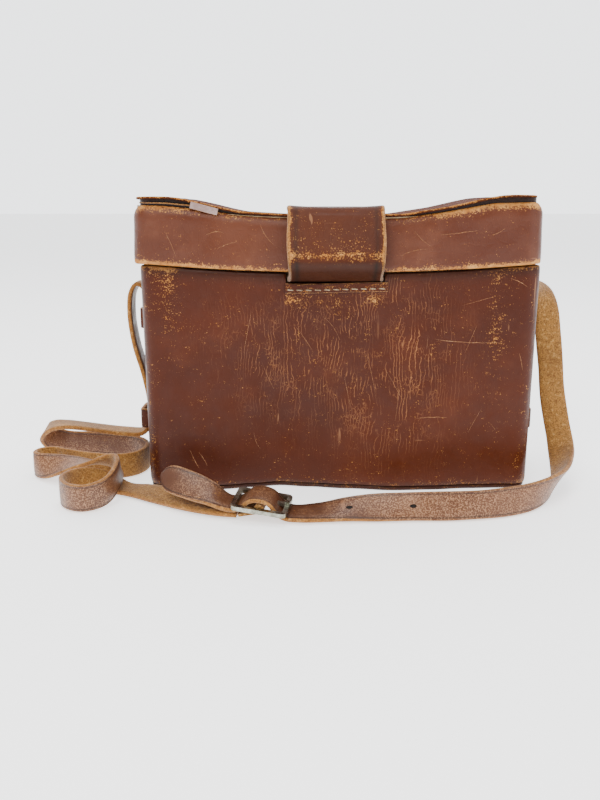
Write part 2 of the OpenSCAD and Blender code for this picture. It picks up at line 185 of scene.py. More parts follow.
def leather(name, base, deep, pale, crackle=False, rough=0.42, dull=0.0, rub=0.235, stipple=0.0):
    """Finished grain leather. 'wear' bares the raw leather, 'painted_shade' darkens it towards near-black as
    painted shade.
    """
    k = Mat(name)
    wear, painted_shade = k.attr("wear"), k.attr("painted_shade")
    big = k.noise(16, 4, 0.6)
    mid = k.noise(70, 5, 0.6)
    fine = k.noise(420, 5, 0.65)
    col = k.mix(k.step(big, 0.3, 0.7), deep, base)
    col = k.mix(k.math("MULTIPLY", k.step(mid, 0.5, 0.8), 0.35), col, pale)
    if stipple:
        dots = k.step(k.noise(1700, 3, 0.65), 0.46, 0.62)
        area = k.step(k.noise(34, 3, 0.5), 0.34, 0.56)
        col = k.mix(k.math("MULTIPLY", k.math("MULTIPLY", dots, area), stipple), col, (0.50, 0.265, 0.135))
    # rubbed specks everywhere, denser where the wear is high
    speck = k.math("MULTIPLY", wear, 0.5)
    for scale, amount, vec in ((1500, 1.5, None), (420, 0.75, k.scaled(0.55, 1, 1.5)), (100, 0.4, None)):
        part = k.math("MULTIPLY", k.math("SUBTRACT", k.noise(scale, 4, 0.7, vec), 0.5), amount)
        speck = k.math("ADD", speck, part)
    speck = k.math("ADD", speck, rub)
    bare = k.step(speck, 0.56, 0.70)
    crease = k.cells(360, k.scaled(1, 1, 0.62))
    grain = k.math("ADD", k.math("MULTIPLY", fine, 0.5), k.step(crease, 0.0, 0.12, 0.0, 0.5))
    height = grain
    if crackle:
        # fine upright cracks in the middle of the front, rubbed pale along their edges
        zone = k.attr("crackle")
        sep = k.t.nodes.new("ShaderNodeSeparateXYZ")
        k.link(k.pos, sep.inputs[0])
        wave = k.math("ADD", k.math("MULTIPLY", k.noise(55, 3, 0.5, k.scaled(1, 1, 0.6)), 7.0),
                      k.math("MULTIPLY", k.noise(330, 3, 0.6, k.scaled(1, 1, 0.7)), 1.3))
        u = k.math("FRACT", k.math("ADD", k.math("MULTIPLY", sep.outputs["X"], 640.0), wave))
        line = k.step(k.math("ABSOLUTE", k.math("SUBTRACT", u, 0.5)), 0.10, 0.035)
        broken = k.step(k.noise(190, 3, 0.6, k.scaled(1, 1, 0.4)), 0.46, 0.54)
        line = k.math("MULTIPLY", line, broken)
        net = k.step(k.cells(760, k.scaled(1.0, 1.0, 0.5)), 0.075, 0.02)
        net = k.math("MULTIPLY", net, k.step(k.noise(85, 4, 0.65), 0.50, 0.62))
        line = k.math("MAXIMUM", line, k.math("MULTIPLY", net, 0.7))
        patch = k.step(k.noise(48, 4, 0.6), 0.32, 0.50)
        line = k.math("MULTIPLY", k.math("MULTIPLY", line, zone), patch)
        col = k.mix(k.math("MULTIPLY", line, 0.80), col, (0.30, 0.115, 0.040))
        height = k.math("SUBTRACT", grain, k.math("MULTIPLY", line, 0.8))
    # long thin scratches in a few directions
    for i, (sx, sz, ang) in enumerate(((14, 150, 0.5), (150, 9, 0.0), (120, 20, -0.6))):
        m = k.t.nodes.new("ShaderNodeMapping")
        m.inputs["Rotation"].default_value = (0, ang, 0)
        m.inputs["Scale"].default_value = (sx, 40, sz)
        m.inputs["Location"].default_value = (i * 3.1, 0, i * 1.7)
        k.link(k.pos, m.inputs["Vector"])
        s = k.step(k.noise(2.2, 2, 0.4, m.outputs[0]), 0.735, 0.76)
        s = k.math("MULTIPLY", s, k.step(k.noise(30 + 9 * i, 3, 0.5), 0.5, 0.62))
        col = k.mix(k.math("MULTIPLY", s, 0.5), col, (0.34, 0.15, 0.065))
    raw = k.mix(k.step(k.noise(240, 4, 0.7), 0.35, 0.7), RAW, RAW_LIGHT)
    raw = k.mix(k.math("MULTIPLY", k.step(k.noise(90, 4, 0.6), 0.52, 0.75), 0.6), raw, (0.16, 0.06, 0.025))
    col = k.mix(k.math("MULTIPLY", bare, 0.92), col, raw)
    # painted shade: near-black mixed in as the painted_shade value rises
    col = k.mix(k.math("MULTIPLY", painted_shade, 0.85), col, (0.012, 0.006, 0.004))
    r = k.step(k.noise(130, 4, 0.6), 0.3, 0.75, rough - 0.08, rough + 0.14)
    r = k.math("ADD", r, k.math("MULTIPLY", bare, 0.35), True)
    n = k.bump(height, 0.28, 0.00022)
    n = k.bump(k.noise(45, 3, 0.5), 0.35, 0.0016, n)
    n = k.bump(bare, -0.25, 0.00015, n)
    return k.done(col, r, n, spec=0.5 - dull, coat=0.02)


def suede(name, base, pale, dark):
    """Rough leather: the flesh side and cut edges."""
    k = Mat(name)
    f = k.noise(1500, 4, 0.75)
    g = k.noise(520, 4, 0.7)
    col = k.mix(k.step(f, 0.32, 0.66), dark, base)
    col = k.mix(k.math("MULTIPLY", k.step(g, 0.5, 0.72), 0.7), col, pale)
    col = k.mix(k.math("MULTIPLY", k.step(k.noise(60, 4, 0.6), 0.45, 0.7), 0.45), col, dark)
    # painted shade: darkened as the painted_shade value rises
    col = k.mix(k.math("MULTIPLY", k.attr("painted_shade"), 0.8), col, (0.02, 0.012, 0.006))
    n = k.bump(k.math("ADD", f, g), 0.6, 0.0005)
    return k.done(col, 0.92, n, spec=0.2, sheen=0.25)


def plain(name, base, other, rough, scale, bump=0.3, metallic=0.0, dist=0.0003, sheen=0.0):
    """A plain material with two tones."""
    k = Mat(name)
    f = k.noise(scale, 5, 0.65)
    col = k.mix(k.step(f, 0.35, 0.68), other, base)
    r = k.step(k.noise(scale * 0.4, 3, 0.5), 0.3, 0.7, rough - 0.08, rough + 0.1)
    return k.done(col, r, k.bump(f, bump, dist), metallic=metallic, sheen=sheen)


CASE = leather("case_leather", (0.069, 0.0118, 0.0016), (0.045, 0.0071, 0.0011), (0.102, 0.023, 0.0060),
               crackle=True, rough=0.38, dull=0.33)
LID = leather("lid_leather", (0.105, 0.028, 0.0105), (0.069, 0.016, 0.0066), (0.165, 0.057, 0.027),
              rough=0.38, dull=0.24)
COVER_TOP = leather("cover_leather", (0.085, 0.021, 0.0080), (0.052, 0.012, 0.005), (0.130, 0.042, 0.020),
                    rough=0.80, dull=0.46)
TONGUE = leather("tongue_leather", (0.082, 0.0190, 0.0050), (0.052, 0.0110, 0.0032), (0.125, 0.040, 0.015),
                 rough=0.48, dull=0.34, rub=0.245)
STRAP = leather("strap_leather", (0.125, 0.044, 0.017), (0.068, 0.022, 0.009), (0.27, 0.140, 0.075),
                rough=0.40, dull=0.10, rub=0.22, stipple=0.66)
FLESH = suede("strap_flesh", (0.40, 0.185, 0.040), (0.60, 0.33, 0.10), (0.105, 0.042, 0.010))
EDGE = suede("raw_edge", (0.42, 0.180, 0.038), (0.60, 0.315, 0.10), (0.14, 0.050, 0.011))
# painted shade: near-black for the insides of the punched holes
HOLE_SHADE = suede("painted_hole_shade", (0.012, 0.007, 0.004), (0.02, 0.012, 0.008), (0.006, 0.004, 0.003))
SCUFF = suede("scuff", (0.36, 0.17, 0.075), (0.50, 0.28, 0.15), (0.16, 0.055, 0.02))
THREAD = plain("thread", (0.44, 0.33, 0.21), (0.20, 0.13, 0.07), 0.8, 900, 0.5)
METAL = plain("old_nickel", (0.47, 0.48, 0.41), (0.20, 0.195, 0.15), 0.30, 420, 0.3, 1.0, 0.0001)
BOARD = plain("board", (0.36, 0.25, 0.14), (0.24, 0.155, 0.085), 0.85, 260, 0.3)
LINING = plain("lining", (0.17, 0.028, 0.026), (0.10, 0.014, 0.016), 0.95, 1400, 0.6, sheen=0.6)
PATCH = plain("patch", (0.36, 0.25, 0.23), (0.24, 0.15, 0.13), 0.55, 400, 0.2)


# ---------------------------------------------------------------- mesh helpers
def make(name, verts, faces, mats, body=None, slots=None, attrs=None):
    """A smooth-shaded piece. body is the moving body it rides on, and attrs are its painted values."""
    me = bpy.data.meshes.new(name)
    me.from_pydata([tuple(v) for v in verts], [], faces)
    for m in mats:
        me.materials.append(m)
    if slots is not None:
        me.polygons.foreach_set("material_index", slots)
    me.polygons.foreach_set("use_smooth", [True] * len(me.polygons))
    for key in ("wear", "painted_shade", "crackle"):
        a = me.attributes.new(key, "FLOAT", "POINT")
        values = (attrs or {}).get(key)
        if values is not None:
            a.data.foreach_set("value", np.asarray(values, np.float32))
    me.validate()
    me.update()
    ob = bpy.data.objects.new(name, me)
    bpy.context.scene.collection.objects.link(ob)
    if body:
        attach(ob, body)
    return ob


def loop_points(w, d, r, step, extra=()):
    """Points and outward normals round a rounded rectangle, from its right side on.

    extra lists x places that get a point of their own on the front.
    """
    hw, hd = w / 2, d / 2
    out = []

    def line(x0, y0, x1, y1, nx, ny, marks=()):
        """A straight side, without its last point."""
        n = max(2, int(round(math.hypot(x1 - x0, y1 - y0) / step)))
        ts = sorted(set([i / n for i in range(n)] + [m for m in marks if 0 < m < 1]))
        for t in ts:
            out.append((x0 + (x1 - x0) * t, y0 + (y1 - y0) * t, nx, ny))

    def arc(cx, cy, a0, a1):
        """A round corner, without its last point."""
        n = max(5, int(round(abs(a1 - a0) * r / step * 1.6)))
        for i in range(n):
            a = a0 + (a1 - a0) * i / n
            out.append((cx + r * math.cos(a), cy + r * math.sin(a), math.cos(a), math.sin(a)))

    q = math.pi / 2
    line(hw, -hd + r, hw, hd - r, 1, 0)
    arc(hw - r, hd - r, 0, q)
    line(hw - r, hd, -hw + r, hd, 0, 1)
    arc(-hw + r, hd - r, q, 2 * q)
    line(-hw, hd - r, -hw, -hd + r, -1, 0)
    arc(-hw + r, -hd + r, 2 * q, 3 * q)
    span = w - 2 * r
    line(-hw + r, -hd, hw - r, -hd, 0, -1, [(x + hw - r) / span for x in extra])
    arc(hw - r, -hd + r, 3 * q, 4 * q)
    return out


def ring_faces(rows, n):
    """Quads between rows of n points that each go all the way round."""
    return [(j * n + i, j * n + (i + 1) % n, (j + 1) * n + (i + 1) % n, (j + 1) * n + i)
            for j in range(rows - 1) for i in range(n)]


def corner_share(nx):
    """1 in the middle of an upright corner, going to 0 at the flat sides."""
    return 1 - abs(abs(nx) - 0.7) / 0.7 if 0.02 < abs(nx) < 0.999 else 0.0


def fbm(x, y, z, f, seed=0.0):
    """Cloudy noise round zero."""
    return noise.fractal(Vector((x * f + seed, y * f - seed, z * f + 2 * seed)), 1.0, 2.0, 4)


def smooth01(t):
    """A soft step from 0 to 1."""
    t = min(1.0, max(0.0, t))
    return t * t * (3 - 2 * t)


def bell(x, c, s):
    """A bump of height 1 at c, about s wide to each side."""
    return math.exp(-((x - c) / s) ** 2)


# x, and how far the foot of the front stands in (+) or out (-) there
FOOT = [(-90, 0), (-72, -0.4), (-55, -0.6), (-42, 2.2), (-28, 5.0), (-14, 2.8), (4, 0.2), (26, -2.4),
        (44, -1.6), (62, 0.6), (80, 1.6), (90, 0.6)]


def foot(x):
    """How far the foot of the front stands in or out at x."""
    for (x0, y0), (x1, y1) in zip(FOOT, FOOT[1:]):
        if x <= x1:
            return y0 + (y1 - y0) * smooth01((x - x0) / (x1 - x0))
    return 0.0


def warp_body(x, y, z):
    """Moves a point of the body, in mm, as the old leather has settled."""
    front = smooth01((-y - 18) / 12)
    low = max(0.0, 1 - z / 88) ** 1.6
    dy = front * (foot(x) * low + 0.9 * bell(x, -6, 46) * bell(z, 62, 30)
                  - 0.6 * bell(x, 52, 22) * bell(z, 50, 30))
    dy += front * 0.35 * fbm(x, y, z, 0.02, 3.1)
    side = smooth01((abs(x) - 70) / 12)
    dx = side * math.copysign(1, x) * (-0.8 * bell(y, 0, 22) * bell(z, 60, 40) - 0.5 * (1 - z / 106))
    return x + dx, y + dy, z


def joint_line(x, y):
    """Height of the body's top edge."""
    front = smooth01((-y - 28) / 5)
    return 105.6 - front * 3.6 * max(0.0, 1 - (x / 84) ** 2)


# ---------------------------------------------------------------- body
def build_wrap():
    """The outer leather of the body, open at the top, with the notch under the tongue."""
    marks = [TX - TW / 2 - 0.6, TX - TW / 2 - 0.35, TX + TW / 2 + 0.35, TX + TW / 2 + 0.6]
    ring = loop_points(*BODY_BOX, 2.6, marks)
    n = len(ring)
    outer = [2.4 + 103.2 * i / 40 for i in range(41)]
    prof = [(0.9, 2.4), (0.35, 2.7)] + [(0.0, z) for z in outer[1:-1]]
    prof += [(0.12, 104.8), (0.5, 105.4), (1.1, 105.6), (1.9, 105.6), (2.5, 105.4), (2.9, 104.8)]
    prof += [(3.0, 100), (3.0, 60), (3.0, 3.4)]
    verts, wear, painted_shade, crack = [], [], [], []
    for o, z in prof:
        for px, py, nx, ny in ring:
            zt = joint_line(px, py)
            if ny < -0.9 and abs(px - TX) < TW / 2 + 0.45:
                zt = SLOT_Z
            zz = z if z < 70 else 70 + (z - 70) * (zt - 70) / 35.6
            x, y, zz = warp_body(px - nx * o, py - ny * o, zz)
            verts.append((x * MM, y * MM, zz * MM))
            front = 1.0 if ny < -0.5 else 0.0
            corner = corner_share(nx)
            top = smooth01((zz - zt + 3.2) / 3.2)
            w = 0.16
            ends = smooth01((abs(px) - 66) / 14)
            w += 0.60 * top * ends + 0.45 * ends * smooth01((zz - zt + 0.8) / 0.8)
            w += 0.24 * corner * (0.6 + 0.4 * fbm(px, py, zz, 0.05, 7))
            w += 0.30 * smooth01((7 - zz) / 5)
            w += 0.34 * bell(px, 70, 3.2) * smooth01((zz - 50) / 26) * front
            w += 0.26 * bell(px, -79, 4) * smooth01((zz - 74) / 26) * front
            w += 0.05 * bell(px, -6, 40) * bell(zz, 52, 34) * front
            by_slot = bell(zz, 91, 3.2) * front * (abs(px - TX) < 23)
            w += (0.20 + 0.22 * bell(px, -22, 9) + 0.22 * bell(px, 17, 5)) * by_slot
            w += 0.20 * bell(px, -80, 7) * smooth01((zz - 66) / 30) * front
            w += 0.22 * corner * bell(zz, 10, 14)
            wear.append(w)
            # painted shade: a contact shadow along the foot of the wrap
            d = 0.55 * smooth01((3.6 - zz) / 1.4)
            # painted shadow cast by the lid's drooping front edge on the top of the front, weaker under the
            # tongue
            d += 0.75 * front * smooth01((zz - zt + 6.5) / 6.5) * (1 if abs(px - TX) > 23 else 0.6)
            # painted shade on the wrap's inner face
            if o > 2.6:
                d = 0.3
            painted_shade.append(min(1, d))
            crack.append(front * min(1, 1.5 * bell(px, 22, 24) * bell(zz, 62, 36)
                                     + 0.75 * bell(px, -26, 26) * bell(zz, 66, 26)))
    ob = make("case_wrap", verts, ring_faces(len(prof), n), [CASE], "body",
              attrs={"wear": wear, "painted_shade": painted_shade, "crackle": crack})
    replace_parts(ob, "body_wrap")


def build_base():
    """Bottom panel and the pale welt above it, following the foot of the wrap."""
    ring = loop_points(*BODY_BOX, 2.6)
    n = len(ring)
    for name, prof, mat, slot, cad in (
        ("base_panel", [(60, 0), (20, 0), (2.2, 0), (1.2, 0.25), (0.7, 1.0), (0.7, 1.9), (1.4, 2.3), (20, 2.4)],
         CASE, "case_leather", "bottom_panel"),
        ("base_welt", [(5.5, 2.35), (1.0, 2.4), (0.55, 2.6), (0.5, 3.0), (1.0, 3.3), (5.5, 3.4)],
         EDGE, "raw_leather", "bottom_welt"),
    ):
        verts, wear, painted_shade = [], [], []
        for o, z in prof:
            for px, py, nx, ny in ring:
                s = min(o, 34)
                qx = px * (1 - s / HALF_W) if o > 10 else px - nx * o
                qy = py * (1 - s / HALF_D) if o > 10 else py - ny * o
                x, y, _ = warp_body(qx, qy, z)
                verts.append((x * MM, y * MM, z * MM))
                wear.append(0.25 + 0.3 * smooth01((1.5 - o) / 1.5))
                # painted shade: the base and welt darkened as a contact shadow at the foot
                painted_shade.append(0.75 if name == "base_panel" else 0.45)
        faces = ring_faces(len(prof), n)
        if name == "base_panel":
            faces.append(tuple(range(n))[::-1])
        ob = make(name, verts, faces, [mat], "body", attrs={"wear": wear, "painted_shade": painted_shade})
        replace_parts(ob, cad)


# ---------------------------------------------------------------- lid
GRID = np.linspace(-110, 110, 441)


def profile(points, blur):
    """Heights along x through the points, rounded off."""
    z = np.interp(GRID, [q[0] for q in points], [q[1] for q in points])
    k = np.exp(-np.linspace(-2, 2, 2 * blur + 1) ** 2)
    z = np.convolve(np.pad(z, blur, mode="edge"), k / k.sum(), "valid")
    return lambda x: float(np.interp(x, GRID, z))


RIM = profile([(-95, 132.2), (-80, 131.7), (-63, 130.4), (-45, 127.8), (-27, 126.7), (0, 126.3), (27, 126.7),
               (48, 129.1), (60, 131.3), (70, 132.8), (95, 133.3)], 14)
COVER = profile([(-95, 134.3), (-74, 134.3), (-63, 132.2), (-53, 129.8), (-44, 128.1), (-26, 127.0), (0, 126.8),
                 (27, 127.0), (47, 130.0), (60, 133.0), (70, 134.9), (95, 135.1)], 12)


def rim_z(x, y):
    """Height of the lid's top edge."""
    return RIM(x) + 0.25 * fbm(x, y, 0, 0.05, 5)


def lid_lean(z, top):
    """How far the lid's wall stands in: a little all the way up, and more at its round shoulder."""
    return 0.6 * smooth01((z - 108) / 18) + 2.4 * max(0.0, (z - top + 5.5) / 5.5) ** 2


def build_band():
    """The leather wall of the lid, whose front edge droops in the middle."""
    ring = loop_points(*LID_BOX, 2.4)
    n = len(ring)
    rows = 14
    prof = [(2.2, 108.0), (2.2, 106.9), (1.9, 106.35), (1.3, 106.1), (0.7, 106.1), (0.25, 106.3), (0.05, 106.8)]
    prof += [(0.0, 106.8 + 19.2 * (i + 1) / rows) for i in range(rows - 1)]
    prof += [(0.12, 125.9), (0.5, 126.4), (1.1, 126.5), (1.7, 126.4), (2.1, 125.9), (2.2, 120.0), (2.2, 108.0)]
    verts, wear, painted_shade = [], [], []
    for o, z in prof:
        for px, py, nx, ny in ring:
            bottom = 106.3 - smooth01((-py - 29) / 5) * 3.6 * max(0.0, 1 - ((px - 2) / 86) ** 2)
            top = rim_z(px, py)
            zz = bottom + (z - 106.1) * (top - bottom) / 20.4
            lean = lid_lean(zz, top)
            x = px - nx * (o + lean) + LX
            y = py - ny * (o + lean * 0.7) + LY
            y += 0.5 * smooth01((-py - 20) / 10) * fbm(px, 0, zz, 0.03, 9)
            if ny > 0.5:
                y = min(y, 37.5)
            verts.append((x * MM, y * MM, zz * MM))
            low = smooth01((bottom + 3.4 - zz) / 3.0)
            high = smooth01((zz - top + 4.6) / 4.2)
            corner = corner_share(nx)
            w = 0.16 + 1.0 * low * (0.74 + 0.26 * smooth01((abs(px) - 40) / 30))
            w += high * (0.34 + 0.60 * smooth01((px - 26) / 24) + 0.42 * smooth01((-px - 52) / 22))
            w += 0.45 * corner * max(low, high)
            wear.append(w)
            # painted shade on the band's inner face
            painted_shade.append(0.25 if o > 1.8 else 0.0)
    ob = make("lid_skirt", verts, ring_faces(len(prof), n), [LID], "lid",
              attrs={"wear": wear, "painted_shade": painted_shade})
    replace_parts(ob, "lid_band")


def panel_z(x, y):
    """Underside of the curled top leather."""
    return COVER(x) + 0.3 * fbm(x, y, 0, 0.03, 2)


def ply_z(x, y):
    """A second thin layer lies on the rim at the left end only."""
    return rim_z(x, y) + 0.75 - 3.5 * smooth01((x + 63) / 18)


def build_shade_sheet():
    """A near-black sheet of painted shade inside the lid, filling the gap seen under the curled cover."""
    ring = loop_points(177, 69.4, 5.5, 2.4)
    n = len(ring)
    verts = []
    for f in (0.0, 1.0):
        for px, py, _, _ in ring:
            x, y = px + LX, py + LY
            z = 121 + (panel_z(x, y) + 0.3 - 121) * f
            verts.append((x * MM, y * MM, z * MM))
    # painted_shade at 1 makes the sheet near-black
    make("lid_shade_sheet", verts, ring_faces(2, n), [CASE], "lid",
         attrs={"painted_shade": [1.0] * len(verts)})


def build_top(name, thick, inset, mat, height, cad=None):
    """A closed sheet of leather on the lid. height gives its underside at a place."""
    ring = loop_points(179 - inset * 2, 74.6 - inset * 2, 8.6, 2.4)
    n = len(ring)
    levels = [0, 0.6, 1.6, 4, 8, 13, 19, 26, 32, 37]
    verts, wear, painted_shade = [], [], []

    def at(px, py, s):
        """A point of the rim, drawn in by s."""
        kx, ky = 1 - s / 90.7, 1 - s / 37.3
        return px * kx + LX - 0.7, py * ky + LY

    for s in reversed(levels[1:]):
        for px, py, _, _ in ring:
            x, y = at(px, py, s)
            verts.append((x * MM, y * MM, height(x, y) * MM))
            wear.append(0.2)
            # painted shade on the underside of the curled sheet
            painted_shade.append(0.6)
    for s, f in ((0.12, 0.12), (0.0, 0.5), (0.12, 0.88)):
        for px, py, _, _ in ring:
            x, y = at(px, py, s)
            verts.append((x * MM, y * MM, (height(x, y) + thick * f) * MM))
            wear.append(0.2 + 0.9 * f)
            # painted shade fading out up the sheet's edge
            painted_shade.append(max(0.0, 0.75 - f))
    for s in levels[1:]:
        for px, py, _, _ in ring:
            x, y = at(px, py, s)
            verts.append((x * MM, y * MM, (height(x, y) + thick) * MM))
            wear.append(0.2 + 0.7 * smooth01((5 - s) / 5))
            painted_shade.append(0.0)
    rows = len(verts) // n
    faces = ring_faces(rows, n)
    # close the middle of both sides by joining each point to the one across from it
    turn = next(i for i, q in enumerate(ring) if abs(q[1] - (37.3 - inset - 8.6)) < 1e-6)
    first = (turn + 1) // 2
    for base, flip in ((0, False), ((rows - 1) * n, True)):
        for i in range(first, first + n // 2):
            q = []
            for j in (i % n, (i + 1) % n, (turn - i - 1) % n, (turn - i) % n):
                if j not in q:
                    q.append(j)
            if len(q) > 2:
                faces.append(tuple(base + j for j in (q if flip else q[::-1])))
    ob = make(name, verts, faces, [mat], "lid", attrs={"wear": wear, "painted_shade": painted_shade})
    if cad:
        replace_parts(ob, cad)


# ---------------------------------------------------------------- strips and straps
# outlines across a strip, from -1 to 1 in width and thickness; SECTION has a groove near each edge
SECTION = [(-1.0, 0.0), (-0.985, 0.55), (-0.94, 0.92), (-0.88, 1.0), (-0.80, 0.80), (-0.72, 1.0), (-0.4, 1.03),
           (0.0, 1.05), (0.4, 1.03), (0.72, 1.0), (0.80, 0.80), (0.88, 1.0), (0.94, 0.92),
           (0.985, 0.55), (1.0, 0.0),
           (0.985, -0.6), (0.93, -0.95), (0.6, -1.0), (0.2, -1.0), (-0.2, -1.0), (-0.6, -1.0), (-0.93, -0.95),
           (-0.985, -0.6)]
FLAT = [(u, 1.0 if abs(abs(u) - 0.80) < 0.01 and v > 0 else v) for u, v in SECTION]


def spline(points, step):
    """Smooth curve through the points, evenly resampled. Columns: place, then width direction."""
    p = np.array(points, float)
    ext = np.vstack([2 * p[0] - p[1], p, 2 * p[-1] - p[-2]])
    dense = []
    for i in range(1, len(ext) - 2):
        p0, p1, p2, p3 = ext[i - 1], ext[i], ext[i + 1], ext[i + 2]
        t0 = 0.0
        d = [max(1e-6, np.linalg.norm(b[:3] - a[:3])) ** 0.5
             for a, b in ((p0, p1), (p1, p2), (p2, p3))]
        t1, t2, t3 = t0 + d[0], t0 + d[0] + d[1], t0 + sum(d)
        for t in np.linspace(t1, t2, 24, endpoint=False):
            a1 = (t1 - t) / (t1 - t0) * p0 + (t - t0) / (t1 - t0) * p1
            a2 = (t2 - t) / (t2 - t1) * p1 + (t - t1) / (t2 - t1) * p2
            a3 = (t3 - t) / (t3 - t2) * p2 + (t - t2) / (t3 - t2) * p3
            b1 = (t2 - t) / (t2 - t0) * a1 + (t - t0) / (t2 - t0) * a2
            b2 = (t3 - t) / (t3 - t1) * a2 + (t - t1) / (t3 - t1) * a3
            dense.append((t2 - t) / (t2 - t1) * b1 + (t - t1) / (t2 - t1) * b2)
    dense.append(p[-1])
    dense = np.array(dense)
    s = np.concatenate([[0], np.cumsum(np.linalg.norm(np.diff(dense[:, :3], axis=0), axis=1))])
    m = max(4, int(round(s[-1] / step)))
    u = np.linspace(0, s[-1], m + 1)
    return np.column_stack([np.interp(u, s, dense[:, c]) for c in range(dense.shape[1])])


def sweep(name, pts, width, thick, mats, grain=1, body=None, section=SECTION, tip=None,
          wear_at=None, shade_at=None):
    """Flat strip along pts (x y z wx wy wz, in mm), and its length.

    mats are for the grain side, the flesh side and the edges. grain says which side has the grain: +1 is along
    x width. tip is how long the rounded end is. wear_at paints wear and shade_at paints shade, from the place
    along it (0 to 1) and across it (-1 to 1).
    """
    pos, wid = pts[:, :3], pts[:, 3:6]
    tan = np.gradient(pos, axis=0)
    tan /= np.linalg.norm(tan, axis=1)[:, None]
    wid = wid - tan * np.sum(tan * wid, axis=1)[:, None]
    wid /= np.linalg.norm(wid, axis=1)[:, None]
    nor = np.cross(tan, wid) * grain
    verts, wear, painted_shade = [], [], []
    k, m = len(section), len(pos)
    s = np.concatenate([[0], np.cumsum(np.linalg.norm(np.diff(pos, axis=0), axis=1))])
    for i in range(m):
        half = width / 2 * (1 + 0.012 * math.sin(s[i] * 0.21))
        if tip and s[-1] - s[i] < tip:
            f = 1 - (s[-1] - s[i]) / tip
            half *= math.sqrt(max(0.03, 1 - f * f))
        for u, v in section:
            q = pos[i] + wid[i] * (half * u) + nor[i] * (thick / 2 * v)
            verts.append(q * MM)
            e = abs(u)
            w = 0.22 + 0.75 * smooth01((e - 0.9) / 0.08)
            if wear_at:
                w += wear_at(s[i] / s[-1], u)
            wear.append(w)
            # painted shade from shade_at, and painted shade in the groove near each edge of the grain side
            d = shade_at(s[i] / s[-1], u) if shade_at else 0.0
            painted_shade.append(d + (0.85 * max(0.0, 1 - abs(e - 0.80) / 0.045) if v > 0 else 0.0))
    faces, slots = [], []
    for i in range(m - 1):
        for j in range(k):
            a, b = i * k + j, i * k + (j + 1) % k
            f = (a, b, b + k, a + k)
            faces.append(f if grain > 0 else f[::-1])
            u0, v0 = section[j]
            u1, v1 = section[(j + 1) % k]
            mid_u, mid_v = (u0 + u1) / 2, (v0 + v1) / 2
            slots.append(2 if abs(mid_u) > 0.955 and mid_v > -0.97 else (0 if mid_v > 0 else 1))
    turn = -1 if grain > 0 else 1
    faces += [tuple(range(k))[::turn], tuple(range((m - 1) * k, m * k))[::-turn]]
    slots += [2, 2]
    return make(name, verts, faces, mats, body, slots, {"wear": wear, "painted_shade": painted_shade}), s[-1]


# the straps' routes: x, y, z and the direction of the width
HOLED = [
    [92.5, 2, 62, 0, 1, 0], [93.2, 2, 84, 0, 1, 0], [94.8, 2, 92.4, 0, 1, 0],
    [98.2, 1, 94.8, 0.35, 0.93, 0], [101.6, -0.6, 90.8, 0.8, 0.6, 0], [104, -2, 82, 1, 0.15, 0],
    [105.6, -3, 69, 1, 0, 0], [107.4, -4, 55, 1, 0, 0], [108.6, -6, 41, 1, 0, 0],
    [110, -10.4, 28.6, 1, -0.05, 0.1], [110.2, -19, 18.5, 0.93, -0.1, 0.3],
    [108, -30, 12.4, 0.75, -0.3, 0.6], [103, -43, 9, 0.45, -0.4, 0.8], [94, -56, 7.4, 0.15, -0.15, 1],
    [83, -65, 6.6, 0.08, 0.25, 0.96], [68, -71.5, 6.4, 0.03, 0.34, 0.94],
    [50, -74.8, 6.4, 0, 0.36, 0.93], [26, -75.4, 6.2, 0, 0.5, 0.87],
    [4, -74.8, 5, 0, 0.82, 0.57], [-9, -74.8, 3.4, 0.08, 0.95, 0.28],
    [-18.2, -75.5, 3.1, 0.19, 0.97, 0.17], [-23.7, -74.5, 3.3, 0.19, 0.97, 0.17],
    [-27.3, -74.1, 5.5, 0.19, 0.97, 0.17], [-30.4, -74.3, 9.6, 0.19, 0.97, 0.17],
    [-34.4, -73.7, 11, 0.19, 0.97, 0.17], [-38.8, -72.8, 10.6, 0.19, 0.97, 0.17],
    [-42.6, -71.4, 7.1, 0.19, 0.97, 0.17], [-46.3, -70.5, 5.7, 0.19, 0.97, 0.17],
    [-50.6, -69.7, 6.1, 0.19, 0.97, 0.17], [-57.5, -68.6, 9.6, 0.17, 0.84, 0.5],
    [-66, -65.4, 12, 0.14, 0.6, 0.79], [-74, -61.6, 13.6, 0.06, 0.45, 0.89],
    [-80, -57.6, 14.6, 0, 0.38, 0.92],
]
